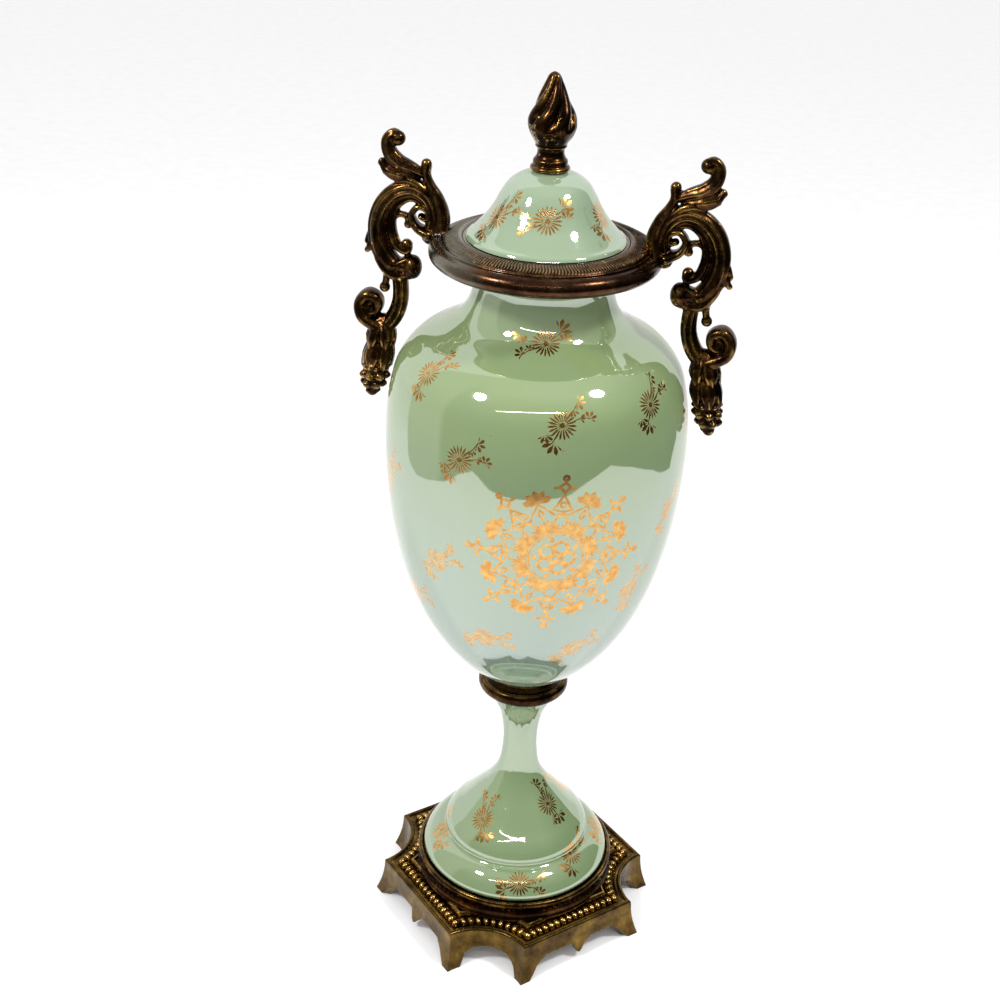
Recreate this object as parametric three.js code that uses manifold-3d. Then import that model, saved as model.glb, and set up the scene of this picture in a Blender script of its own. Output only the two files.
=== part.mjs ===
// A two-handled mantel urn with a lid: porcelain bell foot, ovoid body and lid,
// held between cast brass mounts. Millimetres, +Z up, the origin under the middle of the plinth.
import * as THREE from "three";
import { mergeGeometries, mergeVertices } from "three/addons/utils/BufferGeometryUtils.js";
import Module from "manifold-3d";

const wasm = await Module();
wasm.setup();

// ---- driving sizes -------------------------------------------------------------------------------
const GAP = 0.3;                  // between a piece and the one it stands on

// heights of the joints between the pieces, from the table up
const PLINTH_SEAT = 28.2;         // the porcelain foot stands here, inside the ring moulding
const STEM_TOP = 119.0;
const COLLAR_TOP = 127.0;
const NECK_TOP = 322.6;
const LID_SEAT = 332.8;
const LID_TOP = 360.2;
const URN_TOP = 398.0;

// plinth
const PLINTH_FLAT = 55.0;         // axis to a straight side, at the top edge
const COVE_RADIUS = 24.5;         // the concave corners, struck from the corners of the square
const PLINTH_EDGE = 18.3;         // height of the top edge
const EDGE_RIDGE = new THREE.Vector2(1.3, 0.6);         // the raised edge: how far in, and how high
const PLINTH_SPLAY = 3.0;         // how far the feet stand out beyond the top edge
const PLINTH_WALL = 3.2;
const PLATE_UNDERSIDE = 24.6;
const BEAD_SHELF = 18.0;          // height of the flat that the beads stand on
const BEAD_INSET = 6.5;           // from the top edge to the middle of the bead row
const BEADS_STRAIGHT = 15;
const BEADS_COVE = 10;
const BEAD_SIZE = new THREE.Vector3(1.5, 1.7, 1.7);     // half along the row, half across it, height
const SHELF_OUTER = 2.4;          // the bead shelf, from and to this far inside the top edge
const SHELF_INNER = 8.7;
const PLINTH_SPANDREL = 10.2;     // the star-shaped step under the ring moulding, inside the top edge
// the ring moulding round the foot: [radius, height] up its outside and down to the seat
const RING_MOULDING = [[46.2, 20.6], [46, 23.6], [46.4, 27.6], [45.3, 29.6], [44.2, PLINTH_SEAT]];
const PLATE_RADIUS = 42.0;        // the plate's underside, inside the ring moulding
const SHELF_UNDERSIDE = 15.2;
const SHELF_BACK = 11.1;          // the shelf's underside starts this far inside the top edge

// porcelain
const LID_FLANGE = 4.0;           // how far the lid's flange drops into the rim

// brass rim
const RIM_RADIUS = 47.0;          // outside of the half-round moulding
const RIM_MIDDLE = 326.6;         // height of the moulding's middle
const RIM_TUBE = 4.0;
const RIM_HOLE = 27.2;

// finial
const FLUTES = 6;
const FLUTE_DEPTH = 0.15;         // as a share of the flame's radius
const FLAME_TWIST = 1.3;          // radians, from the bottom of the flame to its tip
const FLAME_FROM = 370.5;

// how finely round pieces are faceted
const HANDLE_TOLERANCE = 0.32;    // the smallest step that a handle's facets keep
const BODY_SIDES = 28;
const SMALL_SIDES = 22;

// ---- helpers -------------------------------------------------------------------------------------
const points = (list) => list.map(([x, y]) => new THREE.Vector2(x, y));
const mix = THREE.MathUtils.lerp;

// a closed three.js geometry as a manifold solid
function solid(geometry) {
  geometry.deleteAttribute("normal");
  geometry.deleteAttribute("uv");
  const merged = mergeVertices(geometry, 1e-4);
  const index = [...merged.index.array];
  const triangles = [];
  for (let i = 0; i < index.length; i += 3) {
    const [a, b, c] = index.slice(i, i + 3);
    if (a !== b && b !== c && c !== a) {
      triangles.push(a, b, c);
    }
  }
  return new wasm.Manifold(new wasm.Mesh({
    numProp: 3,
    vertProperties: new Float32Array(merged.attributes.position.array),
    triVerts: new Uint32Array(triangles),
  }));
}

function joined(solids) {
  return solids.reduce((all, next) => all.add(next));
}

// a manifold solid back as a geometry
function faceted(manifold) {
  const mesh = manifold.getMesh();
  const geometry = new THREE.BufferGeometry();
  geometry.setAttribute("position", new THREE.BufferAttribute(mesh.vertProperties, 3));
  geometry.setIndex(new THREE.BufferAttribute(mesh.triVerts, 1));
  geometry.computeVertexNormals();
  return geometry;
}

// a profile of [radius, height] turned round the Z axis, anticlockwise with the axis on its left
function turned(profile, sides) {
  const closed = profile[0][0] === 0 ? profile : [...profile, profile[0]];
  return solid(new THREE.LatheGeometry(points(closed), sides).rotateX(Math.PI / 2));
}

// a rod bent along a curve in the XZ plane; its half width follows the list of widths,
// and it is "depth" times as thick in Y as it is wide
function rod({ way, widths, depth, sides, steps }) {
  const curve = new THREE.CatmullRomCurve3(way.map(([x, z]) => new THREE.Vector3(x, 0, z)));
  const width = new THREE.SplineCurve(widths.map((w, i) => new THREE.Vector2(i, w)));
  const geometry = new THREE.CylinderGeometry(1, 1, 1, sides, steps);
  const position = geometry.attributes.position;
  const across = new THREE.Vector3();
  for (let i = 0; i < position.count; i += 1) {
    const along = Math.min(1, Math.max(0, 0.5 + position.getY(i)));
    const middle = curve.getPoint(along);
    const half = width.getPoint(along).y;
    across.crossVectors(curve.getTangent(along), new THREE.Vector3(0, 1, 0));
    middle.addScaledVector(across, half * position.getX(i));
    middle.y = half * depth * position.getZ(i);
    position.setXYZ(i, middle.x, middle.y, middle.z);
  }
  return solid(geometry);
}

// a low-sided ball, stretched by its half sizes and set down at a place
function ball(x, y, z, size, around = 7, up = 5) {
  const geometry = new THREE.SphereGeometry(1, around, up).rotateX(Math.PI / 2);
  return solid(geometry.scale(size.x, size.y, size.z).translate(x, y, z));
}

// ---- plinth --------------------------------------------------------------------------------------
// The outline at a distance inside the top edge. Each side is a straight stretch and a quarter-round
// cove; "side" counts the four of them and "u" runs from -1 to 1 along the stretch or the cove.
function outlinePoint(side, cove, u, offset) {
  const flat = PLINTH_FLAT - offset;
  const radius = COVE_RADIUS + offset;
  const halfStraight = PLINTH_FLAT - Math.sqrt(radius * radius - offset * offset);
  const point = new THREE.Vector2(flat, u * halfStraight);
  if (cove) {
    const start = Math.asin(offset / radius);
    const turn = mix(start, Math.PI / 2 - start, (u + 1) / 2);
    point.set(PLINTH_FLAT - radius * Math.sin(turn), PLINTH_FLAT - radius * Math.cos(turn));
  }
  return point.rotateAround(new THREE.Vector2(), Math.PI / 4 + side * Math.PI / 2);
}

// Half of the apron's lower edge, from the corner to the middle: [u, height]. A foot, an arch, and on
// the straight sides a small drop in the middle.
const APRON_STRAIGHT = [[1, 0], [0.86, 0], [0.78, 5], [0.46, 9.4], [0.17, 8.4], [0, 3.4]];
const APRON_COVE = [[1, 0], [0.78, 0], [0.52, 7.6], [0, 10]];

function apronStations() {
  const stations = [];
  for (let side = 0; side < 4; side += 1) {
    for (const cove of [false, true]) {
      const half = cove ? APRON_COVE : APRON_STRAIGHT;
      const left = half.map(([u, low]) => [-u, low]);
      const right = half.slice(1, -1).reverse();
      for (const [u, low] of [...left, ...right]) {
        stations.push({ side, cove, u, low });
      }
    }
  }
  return stations;
}

// The plinth is a turned profile whose rings follow the outline: each ring is an inset from the outline,
// or a plain radius, at a height. It starts and ends at the flat shelf that carries the beads.
function plinth() {
  const stations = apronStations();
  const splay = (height) => -PLINTH_SPLAY * (1 - height / PLINTH_EDGE) ** 2;
  const inset = (distance, height) => ({ distance: () => distance, height: () => height });
  const apron = (distance) => ({ distance: (low) => splay(low) + distance, height: (low) => low });
  const round = (radius, height) => ({ radius, height: () => height });
  const rings = [
    inset(SHELF_INNER, BEAD_SHELF),
    { ...round(...RING_MOULDING[0]), spandrel: PLINTH_SPANDREL },
    ...RING_MOULDING.slice(1).map(([radius, height]) => round(radius, height)),
    round(0, PLINTH_SEAT),
    round(0, PLATE_UNDERSIDE),
    round(PLATE_RADIUS, PLATE_UNDERSIDE),
    inset(SHELF_BACK, SHELF_UNDERSIDE),
    inset(PLINTH_WALL, SHELF_UNDERSIDE),
    apron(PLINTH_WALL),
    apron(0),
    inset(0, PLINTH_EDGE),
    inset(EDGE_RIDGE.x, PLINTH_EDGE + EDGE_RIDGE.y),
    inset(SHELF_OUTER, BEAD_SHELF),
  ];
  const geometry = new THREE.LatheGeometry(rings.map(() => new THREE.Vector2(1, 0)), stations.length);
  const position = geometry.attributes.position;
  for (let i = 0; i < position.count; i += 1) {
    const { side, cove, u, low } = stations[Math.floor(i / rings.length) % stations.length];
    const ring = rings[i % rings.length];
    let point = outlinePoint(side, cove, u, 0);
    if (ring.distance) {
      point = outlinePoint(side, cove, u, ring.distance(low));
    } else {
      const spandrel = ring.spandrel ? outlinePoint(side, cove, u, ring.spandrel).length() : 0;
      point.setLength(Math.max(ring.radius, spandrel));
    }
    position.setXYZ(i, point.x, point.y, ring.height(low));
  }
  return solid(mergeGeometries([geometry, ...beadedShelf(stations)]));
}

// the flat shelf with a low four-sided bead over each of its holes, one on every corner
function beadedShelf(stations) {
  const edge = (offset) => stations.map(({ side, cove, u }) => outlinePoint(side, cove, u, offset));
  const shelf = new THREE.Shape(edge(SHELF_OUTER));
  shelf.holes.push(new THREE.Path(edge(SHELF_INNER)));
  const beads = [];
  for (let side = 0; side < 4; side += 1) {
    for (const [cove, count] of [[false, BEADS_STRAIGHT], [true, BEADS_COVE]]) {
      for (let k = cove ? 1 : 0; k < count + (cove ? 0 : 1); k += 1) {
        const u = 2 * k / count - 1;
        const here = outlinePoint(side, cove, u, BEAD_INSET);
        const next = outlinePoint(side, cove, u + 0.01, BEAD_INSET);
        const bead = new THREE.ConeGeometry(1, 1, 4, 1, true).rotateX(Math.PI / 2);
        bead.scale(BEAD_SIZE.x, BEAD_SIZE.y, BEAD_SIZE.z).rotateZ(next.sub(here).angle());
        bead.translate(here.x, here.y, BEAD_SHELF + BEAD_SIZE.z / 2);
        const spots = bead.attributes.position;
        const base = [5, 6, 7, 8].map((i) => new THREE.Vector2().fromBufferAttribute(spots, i));
        shelf.holes.push(new THREE.Path(base));
        beads.push(bead);
      }
    }
  }
  return [new THREE.ShapeGeometry(shelf).translate(0, 0, BEAD_SHELF), ...beads];
}

// ---- porcelain and turned brass --------------------------------------------------------------------
// profiles of [radius, height]: each outside goes up, each hollow goes from its mouth to the axis
const FOOT = [
  [42.6, PLINTH_SEAT + GAP], [43.9, 30.4], [42.4, 34.4], [38.6, 38.6], [35.4, 41.2], [33.5, 43.4],
  [31.4, 48], [26.4, 54], [20.6, 60.4], [14.2, 68], [10.2, 75], [8.2, 86], [8.5, 99], [10.4, 107.5],
  [13, 113.5], [15, STEM_TOP],
];
const FOOT_HOLLOW = [[39.4, PLINTH_SEAT + GAP], [36.6, 35.6], [27.6, 45], [16.6, 56.6], [8, 63], [0, 66]];
const BODY = [
  [13.2, COLLAR_TOP + GAP], [14.4, 130.4], [21, 133], [29.6, 140], [38.4, 150.4], [47.2, 165], [54, 182],
  [59.6, 204], [62.9, 230], [63.5, 250], [61.8, 269], [58.2, 281], [51.2, 289.6], [41.6, 295.4],
  [33.8, 300.8], [29.8, 307.6], [28.8, 315], [30.2, 319.6], [31.8, NECK_TOP],
];
const BODY_HOLLOW = [
  [28.2, NECK_TOP], [25.2, 315], [27.4, 303.6], [39.6, 292], [52.2, 282.4], [58.6, 266], [59.8, 242],
  [56, 205], [46.6, 173], [35, 152.6], [24, 141], [0, 136],
];
const LID = [
  [32.2, LID_SEAT + GAP], [30.4, 335], [27.2, 338.2], [24, 342], [21.2, 346.4], [18.6, 351.4],
  [15.6, 355.6], [11.6, 358.4], [6, LID_TOP],
];
const LID_HOLLOW = [[24.2, 336.4], [18.6, 344.6], [14.4, 352.2], [9.6, 355.6], [0, 357]];
const FLANGE_RADII = [24.2, 26.4];      // inside and outside of the lid's flange

function foot() {
  return turned([...FOOT_HOLLOW.toReversed(), ...FOOT, [0, STEM_TOP]], SMALL_SIDES);
}

function body() {
  return turned([[0, COLLAR_TOP + GAP], ...BODY, ...BODY_HOLLOW], BODY_SIDES);
}

function lid() {
  const seat = LID_SEAT + GAP;
  const [inner, outer] = FLANGE_RADII;
  const flange = [[inner, seat - LID_FLANGE], [outer, seat - LID_FLANGE], [outer, seat]];
  return turned([...LID_HOLLOW.toReversed(), ...flange, ...LID, [0, LID_TOP]], SMALL_SIDES);
}

// a half-round ring, hollowed a little at the top, with a raised seat for the body inside it
function collar() {
  const bottom = STEM_TOP + GAP;
  return turned([
    [7, bottom], [15.4, bottom], [18.6, bottom + 1.2], [20.5, bottom + 3.6], [20, bottom + 6],
    [18.2, bottom + 7], [16, bottom + 5.6], [13, COLLAR_TOP], [7, COLLAR_TOP],
  ], SMALL_SIDES);
}

// the half-round moulding, a small step, and the band that rises to the lid's seat;
// grown a little, it is also what the handles are cut back from
function rim(grow = 0) {
  const middle = RIM_RADIUS - RIM_TUBE;
  const under = NECK_TOP + GAP - grow;
  const moulding = [-60, -20, 20, 60, 95].map((degrees) => {
    const turn = THREE.MathUtils.degToRad(degrees);
    const radius = RIM_TUBE + grow;
    return [middle + radius * Math.cos(turn), RIM_MIDDLE + radius * Math.sin(turn)];
  });
  return turned([
    [RIM_HOLE - grow, under], [41.2, under], ...moulding, [42.2, 331.6 + grow],
    [34.6, 333.4 + grow], [33.2, LID_SEAT + grow], [RIM_HOLE - grow, LID_SEAT + grow],
  ], BODY_SIDES);
}

// ---- handles ---------------------------------------------------------------------------------------
// One scrolled handle, drawn on the +X side in its own plane. Each scroll is a bent rod: its way through
// [x, z], its half widths along the way, how deep it is for its width, and how finely it is faceted.
const SCROLLS = [
  { // crest: sweeps up and out, and hooks back over itself
    way: [[49, 352], [55, 354.4], [60.8, 356.6], [64.6, 360.6], [65, 365.4], [62.4, 367.4], [60.4, 366]],
    widths: [1.6, 2.2, 3, 3.1, 2.8, 3, 3], depth: 1.1, sides: 6, steps: 8,
  },
  { // leaf under the crest
    way: [[57, 351], [63, 352.4], [67, 354.4], [68, 357]],
    widths: [2.4, 2.6, 1.9, 0.8], depth: 1.2, sides: 5, steps: 3,
  },
  { // limb from the rim up to the bud
    way: [[44, 328.5], [42.4, 335], [44.4, 342.6], [48.2, 349.2], [49.6, 353], [49.4, 356]],
    widths: [3.6, 3, 2.7, 2.3, 1.8, 1.7], depth: 1.2, sides: 6, steps: 6,
  },
  { // the large C scroll
    way: [[47.4, 327.5], [46.2, 336], [49, 343], [54.6, 346.4], [61, 345], [66.4, 340], [69.3, 332.5],
      [69, 325], [66, 317.6], [61, 312.8], [56, 312]],
    widths: [3.6, 2.8, 2.9, 3.3, 3.6, 3.7, 3.8, 4, 4.2, 4.2, 3.6], depth: 1.05, sides: 6, steps: 12,
  },
  { // thin rib inside it, ending in a hook
    way: [[50, 341], [56, 342.2], [61, 339], [63.4, 333], [63, 326.6], [60.4, 321.6], [56.8, 320.6],
      [56.6, 324]],
    widths: [1.2, 1.3, 1.5, 1.7, 1.9, 2, 1.6, 1.6], depth: 1.3, sides: 4, steps: 8,
  },
  { // volute at the rim
    way: [[48, 328.6], [53.4, 331.2], [55.2, 335.8], [52, 339.4], [48.4, 337.4], [50.4, 334.8]],
    widths: [2.4, 2, 1.8, 1.7, 1.6, 1.8], depth: 1.7, sides: 5, steps: 8,
  },
  { // small scroll across the window
    way: [[64.6, 328], [63.2, 333], [60.2, 335.4], [56.8, 334.4], [56.6, 332]],
    widths: [1.2, 1.2, 1.2, 1.4, 1.7], depth: 1.3, sides: 4, steps: 5,
  },
  { // leaf tip on the outside
    way: [[70, 325.6], [72.4, 321.8], [73.8, 319.6]],
    widths: [2, 1.5, 1], depth: 1.3, sides: 4, steps: 2,
  },
  { // leaf that falls outside the stem
    way: [[69.2, 320], [66.8, 314.4], [65.6, 309], [66.2, 304.4]],
    widths: [2.8, 2.4, 1.8, 2.3], depth: 1.4, sides: 5, steps: 4,
  },
  { // stem
    way: [[61, 314], [59.6, 306], [59.8, 298.4], [62.4, 291.4], [66.6, 286.4]],
    widths: [3.2, 3.2, 3.3, 3.5, 3.6], depth: 1.2, sides: 6, steps: 5,
  },
  { // outer volute
    way: [[66.4, 286], [71, 287.8], [76.4, 291], [76.8, 297.6], [72.6, 300.8], [69.4, 297.8],
      [70.6, 294.8]],
    widths: [2.8, 2.7, 2.8, 2.8, 2.6, 2.4, 2.4], depth: 1.7, sides: 6, steps: 9,
  },
  { // hanging husk
    way: [[66.8, 291], [67.7, 284], [68.9, 275], [70.2, 267], [71.4, 260], [72.2, 255.6]],
    widths: [4.4, 6.5, 6.9, 6.3, 4.8, 2.4], depth: 1, sides: 7, steps: 6,
  },
];
const HANDLE_RAISE = 1.2;
const LEAF_CURL = { x: 54.6, z: 313.8, size: new THREE.Vector3(3.5, 4.6, 5.2) };

function handle() {
  const scrolls = SCROLLS.map((scroll) => rod(scroll));
  const curl = ball(LEAF_CURL.x, 0, LEAF_CURL.z, LEAF_CURL.size);
  const cast = joined([...scrolls, curl]).translate([0, 0, HANDLE_RAISE]);
  return cast.subtract(rim(GAP)).simplify(HANDLE_TOLERANCE);
}

// ---- finial ----------------------------------------------------------------------------------------
const FINIAL = [
  [7.8, LID_TOP + GAP], [7.8, 361.6], [6.6, 363], [6.6, 364.4], [5.3, 366.4], [5.3, 368.6], [5.9, 369.6],
  [5.7, FLAME_FROM], [7.8, 373.6], [9.4, 377.6], [9.4, 381.2], [7.6, 385.4], [4.9, 390.6], [2.6, 395.4],
  [0, URN_TOP],
];

// ring mouldings, and a flame whose flutes wind round it towards the tip
function finial() {
  const sides = 3 * FLUTES;
  const profile = [[0, FINIAL[0][1]], ...FINIAL];
  const geometry = new THREE.LatheGeometry(points(profile), sides).rotateX(Math.PI / 2);
  const position = geometry.attributes.position;
  const spot = new THREE.Vector3();
  for (let i = 0; i < position.count; i += 1) {
    spot.fromBufferAttribute(position, i);
    const up = Math.max(0, (spot.z - FLAME_FROM) / (URN_TOP - FLAME_FROM));
    const angle = 2 * Math.PI * (Math.floor(i / profile.length) % sides) / sides;
    const flute = up > 0 ? 1 - FLUTE_DEPTH * (1 + Math.cos(FLUTES * angle)) / 2 : 1;
    const radius = Math.hypot(spot.x, spot.y) * flute;
    const turn = angle + FLAME_TWIST * up;
    position.setXYZ(i, radius * Math.cos(turn), radius * Math.sin(turn), spot.z);
  }
  return solid(geometry);
}

// ---- the urn -----------------------------------------------------------------------------------------
const BRASS = { color: 0x6e4a26, roughness: 0.38, metalness: 1 };
const GLAZE = { color: 0x9dba96, roughness: 0.08, metalness: 0 };

const urn = new THREE.Group();
function place(name, manifold, look) {
  const mesh = new THREE.Mesh(faceted(manifold), new THREE.MeshStandardMaterial(look));
  mesh.name = name;
  urn.add(mesh);
}

place("plinth", plinth(), BRASS);
place("foot", foot(), GLAZE);
place("collar", collar(), BRASS);
place("body", body(), GLAZE);
place("rim", rim(), BRASS);
place("handle_right", handle(), BRASS);
place("handle_left", handle().mirror([1, 0, 0]), BRASS);
place("lid", lid(), GLAZE);
place("finial", finial(), BRASS);

export default urn;
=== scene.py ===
# %% [markdown]
# # A mantel urn: glazed porcelain between cast brass mounts
# The real urn is made in pieces. Porcelain is thrown or cast, glazed green, fired, and gilded from
# printed transfers. The plinth, collar, rim, handles and finial are brass castings, patinated brown and
# rubbed back to gold on the high spots. A rod inside pulls them all together. This lesson rebuilds each
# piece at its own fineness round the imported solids, which give every size.

# %% The frame and the first measurements
import math

import bmesh
import bpy
import numpy as np
from mathutils import Matrix, Vector


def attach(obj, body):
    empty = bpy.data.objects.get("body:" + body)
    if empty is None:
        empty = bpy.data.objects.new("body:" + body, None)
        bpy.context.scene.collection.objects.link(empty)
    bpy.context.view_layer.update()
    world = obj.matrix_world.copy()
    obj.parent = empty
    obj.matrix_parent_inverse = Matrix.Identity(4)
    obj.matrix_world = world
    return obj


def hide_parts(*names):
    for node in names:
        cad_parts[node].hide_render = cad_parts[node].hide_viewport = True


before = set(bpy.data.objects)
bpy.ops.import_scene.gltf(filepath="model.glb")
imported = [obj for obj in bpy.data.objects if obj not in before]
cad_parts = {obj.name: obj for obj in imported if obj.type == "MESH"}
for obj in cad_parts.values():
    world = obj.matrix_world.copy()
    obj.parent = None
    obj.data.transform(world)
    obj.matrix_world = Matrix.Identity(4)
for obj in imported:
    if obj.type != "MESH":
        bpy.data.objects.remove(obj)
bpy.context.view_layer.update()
MM = 0.001
print("CAD nodes:", ", ".join(sorted(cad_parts)))

# %% [markdown]
# ## Camera
# The view is a little from the right and well above, as one looks at an ornament on a table. A long
# lens keeps the body's sides nearly parallel. The camera leans two degrees, so the urn does too.

# %% Camera
AZIMUTH = math.radians(10.9)
LOOK_DOWN = math.radians(27.2)
ROLL = math.radians(2.4)
camera_data = bpy.data.cameras.new("camera")
camera_data.lens = 55.4
camera_data.sensor_width = 36
camera_data.clip_start = 0.05
camera = bpy.data.objects.new("camera", camera_data)
bpy.context.scene.collection.objects.link(camera)
camera.location = (0.0981, -0.5837, 0.5190)
turn = Matrix.Rotation(AZIMUTH, 3, "Z") @ Matrix.Rotation(math.pi / 2 - LOOK_DOWN, 3, "X")
camera.rotation_euler = (turn @ Matrix.Rotation(ROLL, 3, "Z")).to_euler()
bpy.context.scene.camera = camera
print("camera stands", round(camera.location.length, 3), "m from the plinth's middle")

# %% [markdown]
# ## Shapes as numbers
# Most of the urn is turned, so its shape is a profile of radius and height. A smooth curve through a few
# measured points gives as many rows as a mesh needs. Everything is written in millimetres, and one
# function turns a list of points and faces into a piece in metres.


# %% A smooth curve through a few points
def curve_through(knots, count):
    """Evenly spaced points on a smooth curve through the knots, in as many dimensions as they have."""
    knots = np.array(knots, float)
    gaps = np.linalg.norm(np.diff(knots, axis=0), axis=1)[:, None]
    slopes = np.diff(knots, axis=0) / gaps
    inner = (slopes[:-1] * gaps[1:] + slopes[1:] * gaps[:-1]) / (gaps[:-1] + gaps[1:])
    way = np.vstack([slopes[:1], inner, slopes[-1:]])
    t = np.linspace(0, 1, 20, endpoint=False)[:, None, None]
    start, end = knots[:-1], knots[1:]
    leave, arrive = way[:-1] * gaps, way[1:] * gaps
    dense = (
        (2 * t**3 - 3 * t**2 + 1) * start
        + (t**3 - 2 * t**2 + t) * leave
        + (3 * t**2 - 2 * t**3) * end
        + (t**3 - t**2) * arrive
    )
    dense = np.vstack([dense.transpose(1, 0, 2).reshape(-1, knots.shape[1]), knots[-1:]])
    walked = np.r_[0, np.cumsum(np.linalg.norm(np.diff(dense, axis=0), axis=1))]
    even = np.linspace(0, walked[-1], count)
    return np.column_stack([np.interp(even, walked, column) for column in dense.T])


# %% A mesh piece, and rings of points joined into a skin
def piece(name, vertices, faces, replaces, crease=40):
    """A smooth-shaded mesh from millimetres, riding on the urn; edges sharper than crease stay crisp."""
    mesh = bpy.data.meshes.new(name)
    mesh.from_pydata((np.array(vertices) * MM).tolist(), [], [list(map(int, f)) for f in faces])
    mesh.validate()
    mesh.shade_smooth()
    mesh.set_sharp_from_angle(angle=math.radians(crease))
    made = bpy.data.objects.new(name, mesh)
    bpy.context.scene.collection.objects.link(made)
    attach(made, "root")
    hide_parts(replaces)
    print(f"{name}: {len(mesh.polygons)} faces")
    return made


def skin(rings, closed_rings=True, cap_ends=True):
    """Faces that join equal rings of points, numbered row by row, with a flat lid on each end."""
    rows, around = rings
    faces = []
    for row in range(rows - 1):
        for k in range(around if closed_rings else around - 1):
            a, b = row * around + k, row * around + (k + 1) % around
            faces.append((a, b, b + around, a + around))
    if cap_ends:
        faces.append(tuple(range(around - 1, -1, -1)))
        faces.append(tuple((rows - 1) * around + k for k in range(around)))
    return faces


def turned(profile, sides, ripple=None):
    """Points and faces of a profile of [radius, height] turned round the Z axis, open at its two ends."""
    profile = np.array(profile, float)
    angle = np.linspace(0, 2 * math.pi, sides, endpoint=False)
    radius = np.repeat(profile[:, :1], sides, axis=1)
    height = np.repeat(profile[:, 1:], sides, axis=1)
    if ripple:
        radius, height = ripple(radius, height, angle)
    points = np.stack([radius * np.cos(angle), radius * np.sin(angle), height], axis=-1)
    return points.reshape(-1, 3), skin((len(profile), sides))


# %% [markdown]
# ## Colours and nodes
# Colours are written as sRGB hex, as a colour picker gives them, and Blender wants linear light, so one
# function converts. A second small function adds a shader node with its settings and links. Every
# material below is drawn with these two.


# %% Colour and node helpers
def linear(hex_colour):
    """An sRGB hex colour as linear red, green, blue and alpha."""
    parts = [int(hex_colour[i : i + 2], 16) / 255 for i in (1, 3, 5)]
    return [c / 12.92 if c <= 0.04045 else ((c + 0.055) / 1.055) ** 2.4 for c in parts] + [1.0]


def put(tree, kind, *inputs, out=0, named=None, **settings):
    """Adds a node. inputs and named are values or sockets, settings are its properties; gives an output."""
    added = tree.nodes.new(kind)
    for name, value in settings.items():
        setattr(added, name, value)
    for key, value in [*enumerate(inputs), *(named or {}).items()]:
        if isinstance(value, bpy.types.NodeSocket):
            tree.links.new(value, added.inputs[key])
        elif value is not None:
            added.inputs[key].default_value = value
    return added.outputs[out] if added.outputs else added


def new_material(name):
    """An empty node material, and its tree."""
    made = bpy.data.materials.new(name)
    made.use_nodes = True
    made.node_tree.nodes.clear()
    return made, made.node_tree


def stops(socket, *colours):
    """Fills the colour ramp that feeds a socket with (place, hex) stops."""
    ramp = socket.node.color_ramp
    while len(ramp.elements) < len(colours):
        ramp.elements.new(0.5)
    for element, (place, colour) in zip(ramp.elements, colours):
        element.position = place
        element.color = linear(colour)
    return socket


# %% [markdown]
# ## The gilding's two brushes
# The gold ornament is flat, so it is drawn in the shader and not raised. Each stroke gives the distance
# to its edge in millimetres, below zero inside the gold, and the smallest of many such distances is the
# whole drawing. Two node groups are enough: a straight line between two points, and a hoop, which with no
# radius is a dot. A third makes the fan of petals that daisies, tufts and palmettes share.


# %% Line and hoop groups
def group(name, sockets):
    """A node group with these inputs, (name, type), and one value out; gives its tree, inputs and output."""
    tree = bpy.data.node_groups.new(name, "ShaderNodeTree")
    for label, kind in sockets:
        tree.interface.new_socket(label, in_out="INPUT", socket_type=kind)
    tree.interface.new_socket("Distance", in_out="OUTPUT", socket_type="NodeSocketFloat")
    inside = tree.nodes.new("NodeGroupInput").outputs
    return tree, inside, tree.nodes.new("NodeGroupOutput").inputs[0]


PLACE, NUMBER = "NodeSocketVector", "NodeSocketFloat"
line_group, given, answer = group(
    "gilt line", [("Here", PLACE), ("From", PLACE), ("To", PLACE), ("Half width", NUMBER)]
)
t = line_group
reach = put(t, "ShaderNodeVectorMath", given[2], given[1], operation="SUBTRACT")
away = put(t, "ShaderNodeVectorMath", given[0], given[1], operation="SUBTRACT")
along = put(t, "ShaderNodeVectorMath", away, reach, operation="DOT_PRODUCT", out=1)
whole = put(t, "ShaderNodeVectorMath", reach, reach, operation="DOT_PRODUCT", out=1)
share = put(t, "ShaderNodeMath", along, whole, operation="DIVIDE", use_clamp=True)
foot_point = put(t, "ShaderNodeVectorMath", reach, operation="SCALE", named={"Scale": share})
gap = put(t, "ShaderNodeVectorMath", away, foot_point, operation="DISTANCE", out=1)
t.links.new(put(t, "ShaderNodeMath", gap, given[3], operation="SUBTRACT"), answer)

hoop_group, given, answer = group(
    "gilt hoop", [("Here", PLACE), ("Middle", PLACE), ("Radius", NUMBER), ("Half width", NUMBER)]
)
t = hoop_group
gap = put(t, "ShaderNodeVectorMath", given[0], given[1], operation="DISTANCE", out=1)
gap = put(t, "ShaderNodeMath", gap, given[2], operation="SUBTRACT")
gap = put(t, "ShaderNodeMath", gap, operation="ABSOLUTE")
t.links.new(put(t, "ShaderNodeMath", gap, given[3], operation="SUBTRACT"), answer)

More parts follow.
